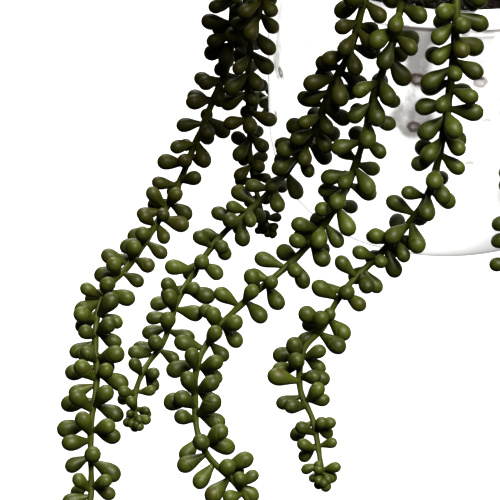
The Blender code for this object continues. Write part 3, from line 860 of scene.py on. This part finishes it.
class LeafyStem:
    """The mesh of one leafy stem while it is made, with what its finish reads at each point."""

    def __init__(self, name, seed):
        self.name = name
        self.draw = random.Random(seed)
        self.shape = bmesh.new()
        self.layers = {layer: self.shape.verts.layers.float.new(layer) for layer in LEAF_LAYERS}

    def mark(self, vert, **values):
        for layer, value in values.items():
            vert[self.layers[layer]] = value

    def tint(self, table, share):
        """How olive the stem is, or how far darkened for age and as painted shade, a share of the way
        from its root to its tip.
        """
        root, tip, turned = table.get(self.name, PLAIN_TINT)
        return root + (tip - root) * min(1.0, share / turned) ** TINT_EASE

    def add_stem(self, nodes, roots):
        """The stem: a ring pushed along a smooth curve, a little thicker where leaves sit."""
        path = smooth_curve(nodes, STEM_SAMPLES)
        tangent = (path[1] - path[0]).normalized()
        turn = Vector((0, 0, 1)).rotation_difference(tangent)
        foot = bmesh.ops.create_circle(self.shape, cap_ends=True, segments=STEM_SIDES, radius=1.0)
        ring = foot["verts"]
        before = Matrix.Identity(4)
        tone = self.draw.random()
        for number, point in enumerate(path):
            share = number / (len(path) - 1)
            onward = path[min(number + 1, len(path) - 1)] - path[max(number - 1, 0)]
            turn = (turn @ Vector((0, 0, 1))).rotation_difference(onward.normalized()) @ turn
            near = min(((root - point).length for root in roots), default=math.inf)
            swell = 1.0 + NODE_SWELL * bell(near, NODE_SWELL_LENGTH)
            thinned = 1.0 - (1.0 - TIP_STEM_SHARE) * share ** STEM_THINNING
            radius = STEM_RADIUS * STEM_CAGE_SWELL * swell * thinned
            size = Matrix.Scale(radius * MM, 4)
            here = Matrix.Translation(point * MM) @ turn.to_matrix().to_4x4() @ size
            if number:
                grown = bmesh.ops.extrude_edge_only(self.shape, edges=self.ring_edges(ring))["geom"]
                ring = [item for item in grown if isinstance(item, bmesh.types.BMVert)]
            bmesh.ops.transform(self.shape, matrix=here @ before.inverted(), verts=ring)
            before = here
            # How far the stem is darkened, for age and as painted shade.
            old, dark = self.tint(OLIVE, share), self.tint(AGE_AND_SHADE, share)
            for vert in ring:
                self.mark(vert, stem=1.0, tone=tone, old=old, dark=dark)
        bmesh.ops.contextual_create(self.shape, geom=self.ring_edges(ring))

    def ring_edges(self, ring):
        """The edges that join a ring's points to each other, each once."""
        members = set(ring)
        return list(dict.fromkeys(edge for vert in ring for edge in vert.link_edges
                                  if edge.other_vert(vert) in members))

    def add_leaf(self, pattern, leaf, share):
        """One leaf, a little bent and turned about itself, and never below the surface it lies on."""
        about_itself = Quaternion((0, 0, 1), self.draw.uniform(0, 2 * math.pi))
        turn = leaf.direction.to_track_quat("Z", "X") @ about_itself
        oval = self.draw.uniform(*LEAF_OVAL)
        size = Matrix.Diagonal((leaf.width * oval * MM, leaf.width * MM, leaf.length * MM, 1.0))
        place = Matrix.Translation(leaf.root * MM) @ turn.to_matrix().to_4x4() @ size
        bend = self.draw.uniform(0.0, LEAF_BEND)
        tone = self.draw.random()
        old = held(self.tint(OLIVE, share) + self.draw.uniform(*OLD_SPREAD))
        # How far the leaf is darkened, for age and as painted shade, with a random spread.
        dark = held(self.tint(AGE_AND_SHADE, share) + self.draw.uniform(*AGE_AND_SHADE_SPREAD))
        first = len(self.shape.verts)
        self.shape.from_mesh(pattern)
        self.shape.verts.ensure_lookup_table()
        for vert in self.shape.verts[first:]:
            x, y, z = vert.co
            self.mark(vert, along=z, across=2 * x, tone=tone, old=old, dark=dark, stem=0.0)
            lump = 1.0 + self.draw.uniform(-LEAF_LUMP, LEAF_LUMP)
            vert.co = place @ Vector((x * lump + bend * z * z, y * lump, z))
            vert.co.z = max(0.0, vert.co.z)


def view_direction(azimuth, elevation):
    """A direction as seen from above: azimuth 0 is the front, and 90 is the right."""
    turn, rise = math.radians(azimuth), math.radians(elevation)
    return Vector((math.sin(turn) * math.cos(rise), -math.cos(turn) * math.cos(rise), math.sin(rise)))


def aimed(data, target, azimuth, elevation, distance):
    """A light or a camera that looks at a target from a direction."""
    item = bpy.data.objects.new(data.name, data)
    bpy.context.scene.collection.objects.link(item)
    towards = view_direction(azimuth, elevation)
    item.location = target + towards * distance
    item.rotation_euler = towards.to_track_quat("Z", "Y").to_euler()
    return item


def colour_property(name, description, colour):
    return FloatVectorProperty(name=name, description=description, subtype="COLOR", default=colour,
                               min=0.0, max=1.0)


def strength_property(name, description, strength):
    return FloatProperty(name=name, description=description, default=strength, min=0.0)


class PotSettings(bpy.types.PropertyGroup):
    """The pot's and the soil's finish."""

    glaze: colour_property("Glaze", "Colour of the thick white glaze", (0.88, 0.88, 0.87))
    # Painted shade and reflection: the grey that the glaze is given in streaks, under the groove and in
    # the pits' hollows.
    glaze_shade: colour_property("Thin glaze", "Colour where the grey body shows through",
                                (0.20, 0.195, 0.19))
    # The pits' own brown rims, and the groove's painted shade.
    pit_rim_and_groove_shade: colour_property("Pit edge", "Brown edge of a pit in the glaze", (0.050, 0.036, 0.030))
    pit_middle: colour_property("Pit middle", "The pale middle of a pit", (0.15, 0.12, 0.11))
    wet_soil: colour_property("Wet soil", "Darkest soil", (0.010, 0.0075, 0.006))
    dry_soil: colour_property("Dry soil", "Lightest soil", (0.036, 0.026, 0.019))
    pale_grain: colour_property("Pale grains", "The pale grains in the soil", (0.62, 0.60, 0.55))


class PlantSettings(bpy.types.PropertyGroup):
    """The plant's finish."""

    deep_green: colour_property("Deep green", "The darkest healthy leaves", (0.027, 0.032, 0.004))
    fresh_green: colour_property("Fresh green", "The lightest healthy leaves", (0.053, 0.064, 0.008))
    pale_green: colour_property("Pale green", "The pale mottling", (0.080, 0.094, 0.018))
    olive_brown: colour_property("Olive brown", "Old leaves and stems", (0.034, 0.027, 0.003))
    brown_patch: colour_property("Brown patches", "The browned patches of some leaves",
                                 (0.040, 0.030, 0.004))
    stem_green: colour_property("Stem", "The bare stems", (0.041, 0.047, 0.007))
    # The colour that leaves and stems are darkened towards, for age and as painted shade, and the seams'
    # painted shade.
    shade_green: colour_property("Shaded", "The darkest old leaves", (0.0098, 0.009, 0.001))
    rounding: IntProperty(name="Rounding", description="Subdivisions of the leaves and stems",
                          default=1, min=0, max=2)


class StageSettings(bpy.types.PropertyGroup):
    """The floor, the light and the camera."""

    floor: colour_property("Floor", "The plain pale floor", (0.16, 0.16, 0.16))
    floor_glow: strength_property("Floor glow", "Strength of the floor's own light", 0.88)
    floor_reach: FloatProperty(name="Floor reach", subtype="DISTANCE", default=3.0, min=1.0,
                               description="From the middle to where the floor curves up")
    key_power: strength_property("Key light", "Power of the large soft light", 52.0)
    back_power: strength_property("Back light", "Power of the soft light behind the plant", 24.0)
    pot_power: strength_property("Pot lights", "Power of the lights on the pot alone", 33.0)
    light_size: FloatProperty(name="Light size", description="Side of each soft light",
                              subtype="DISTANCE", default=0.8, min=0.01)
    fill: strength_property("Fill", "Strength of the light from all round", 0.09)


class PEARLS_OT_stage(bpy.types.Operator):
    """Lay the floor, hang the lights and set the camera at the photograph's view"""

    bl_idname = "pearls.stage"
    bl_label = "Stage"

    def execute(self, context):
        settings = context.scene.pearls_stage
        target = Vector(VIEW_TARGET) * MM
        self.add_floor(settings)
        self.add_light("key_light", target, KEY_LIGHT, settings.key_power, settings.light_size)
        self.add_light("back_light", target, BACK_LIGHT, settings.back_power, settings.light_size)
        lit = bpy.data.collections.new(POT_LIGHT_ONLY)
        for place, share in POT_LIGHTS:
            power = settings.pot_power * share
            light = self.add_light("pot_light", target, place, power, settings.light_size)
            light.light_linking.receiver_collection = lit
            light.light_linking.blocker_collection = lit
        world = bpy.data.worlds.new("studio")
        world.use_nodes = True
        glow = world.node_tree.nodes["Background"]
        glow.inputs["Color"].default_value = (1.0, 1.0, 1.0, 1.0)
        glow.inputs["Strength"].default_value = settings.fill
        context.scene.world = world
        context.scene.view_settings.view_transform = "Standard"
        context.scene.view_settings.look = "High Contrast"
        data = bpy.data.cameras.new("camera")
        data.angle = 2 * math.atan(VIEW_HALF_WIDTH / VIEW_DISTANCE)
        context.scene.camera = aimed(data, target, 0.0, VIEW_ELEVATION, VIEW_DISTANCE * MM)
        return {"FINISHED"}

    def add_floor(self, settings):
        """The floor, which curves up far away all round. It gives no light to the object."""
        reach = settings.floor_reach / MM
        curve = quarter(reach, 0.0, 0.0, reach, FLOOR_CURVE_STEPS)
        outline = [(0.0, 0.0)] + [(2 * reach - radius, height) for radius, height in reversed(curve)]
        shape = bmesh.new()
        spun(shape, outline, FLOOR_STEPS)
        floor = add_piece("floor", shape, floor_look(settings), stage=True)
        floor.visible_diffuse = False
        floor.visible_glossy = False
        floor.visible_shadow = False

    def add_light(self, name, target, place, power, size):
        """A soft square light that hangs at a place, as (azimuth, elevation, distance)."""
        data = bpy.data.lights.new(name, "AREA")
        data.energy = power
        data.size = size
        return aimed(data, target, *place)


class PEARLS_OT_pot(bpy.types.Operator):
    """Turn the glazed pot and press its pits"""

    bl_idname = "pearls.pot"
    bl_label = "Glazed pot"

    def execute(self, context):
        shape = bmesh.new()
        spun(shape, pot_outline(), POT_STEPS)
        press_pits(shape)
        pot = add_piece("glazed_pot", shape, glaze_look(context.scene.pearls_pot), "pot")
        bpy.data.collections[POT_LIGHT_ONLY].objects.link(pot)
        return {"FINISHED"}


class PEARLS_OT_soil(bpy.types.Operator):
    """Fill the pot with lumpy soil and strew its crumbs"""

    bl_idname = "pearls.soil"
    bl_label = "Potting soil"

    def execute(self, context):
        settings = context.scene.pearls_pot
        edge = INSIDE_RADIUS - TOUCHING_GAP
        bottom = FLOOR_THICKNESS + TOUCHING_GAP
        top = [(edge * ring / SOIL_RINGS, SOIL_TOP) for ring in range(SOIL_RINGS + 1)]
        below = quarter(FOOT_RADIUS - FLOOR_THICKNESS - TOUCHING_GAP, edge, bottom, CURVE_HEIGHT,
                        INSIDE_STEPS)
        shape = bmesh.new()
        spun(shape, top + below + [(0.0, bottom)], SOIL_STEPS)
        for vert in shape.verts:
            if vert.co.z > (SOIL_TOP - SOIL_LUMP) * MM:
                vert.co.z += self.lump(vert.co) * MM
        shape.verts.layers.float.new("pale")
        add_piece("potting_soil", shape, soil_look(settings, "potting_soil"), "soil")
        add_piece("soil_crumbs", self.crumbs(edge), soil_look(settings, "soil_crumb"))
        return {"FINISHED"}

    def lump(self, point):
        """How far the soil rises over its level there, in millimetres."""
        place = Vector((point.x, point.y, 0.0)) / (SOIL_LUMP_SIZE * MM)
        return SOIL_LUMP * (noise.noise(place) + FINER_LUMP_SHARE * noise.noise(place * FINER_LUMP))

    def crumbs(self, edge):
        """Small angular crumbs, half sunk in the soil, a few of them pale."""
        draw = random.Random(CRUMB_SEED)
        shape = bmesh.new()
        pale = shape.verts.layers.float.new("pale")
        for _ in range(CRUMB_COUNT):
            size = draw.uniform(*CRUMB_SIZES)
            spot = polar((edge - size) * math.sqrt(draw.random()), draw.uniform(0, 360), 0.0) * MM
            spot.z = (SOIL_TOP + self.lump(spot) + CRUMB_ABOVE * size) * MM
            angle = draw.uniform(0, 2 * math.pi)
            turn = Matrix.Rotation(angle, 4, Vector((draw.random(), draw.random(), 1.0)))
            width, height = draw.uniform(*CRUMB_WIDTHS), draw.uniform(*CRUMB_HEIGHTS)
            flat = Matrix.Diagonal((1.0, width, height, 1.0))
            is_pale = draw.random() < PALE_GRAIN_SHARE
            place = Matrix.Translation(spot) @ turn @ flat
            ball = bmesh.ops.create_icosphere(shape, subdivisions=1, radius=size * MM, matrix=place)
            for vert in ball["verts"]:
                vert[pale] = float(is_pale)
                vert.co += (vert.co - spot) * draw.uniform(*CRUMB_CHIPS)
        return shape


class PEARLS_OT_stems(bpy.types.Operator):
    """Grow every leafy stem: its slender stem, its whorls of pearl leaves and the rosette at its tip"""

    bl_idname = "pearls.stems"
    bl_label = "Leafy stems"

    def execute(self, context):
        settings = context.scene.pearls_plant
        look = pearl_look(settings)
        pattern = leaf_pattern()
        stems = {name: stem_nodes(points) for name, points in routes().items()}
        for number, (name, leaves) in enumerate(all_leaves(stems).items()):
            nodes = stems[name]
            stem = LeafyStem(name, LOOK_SEED + number)
            stem.add_stem(nodes, [leaf.root for leaf in leaves])
            for leaf in leaves:
                stem.add_leaf(pattern, leaf, leaf.whorl / (len(nodes) - 1))
            piece = add_piece("leafy_" + name, stem.shape, look, name)
            round_cage(piece, settings.rounding)
        return {"FINISHED"}


class PEARLS_PT_panel(bpy.types.Panel):
    """The pieces of the potted string of pearls, in the order in which they are made"""

    bl_idname = "PEARLS_PT_panel"
    bl_label = "Potted string of pearls"
    bl_space_type = "VIEW_3D"
    bl_region_type = "UI"
    bl_category = "Pearls"

    def draw(self, context):
        for operator in OPERATORS:
            self.layout.operator(operator.bl_idname)


SETTINGS = {"pearls_pot": PotSettings, "pearls_plant": PlantSettings, "pearls_stage": StageSettings}
OPERATORS = (PEARLS_OT_stage, PEARLS_OT_pot, PEARLS_OT_soil, PEARLS_OT_stems)


def register():
    for kind in (*SETTINGS.values(), *OPERATORS, PEARLS_PT_panel):
        bpy.utils.register_class(kind)
    for name, group in SETTINGS.items():
        setattr(bpy.types.Scene, name, PointerProperty(type=group))


def unregister():
    for name in SETTINGS:
        delattr(bpy.types.Scene, name)
    for kind in (PEARLS_PT_panel, *reversed(OPERATORS), *reversed(SETTINGS.values())):
        bpy.utils.unregister_class(kind)


def main():
    register()
    bpy.ops.pearls.stage()
    bpy.ops.pearls.pot()
    bpy.ops.pearls.soil()
    bpy.ops.pearls.stems()


if __name__ == "__main__":
    main()
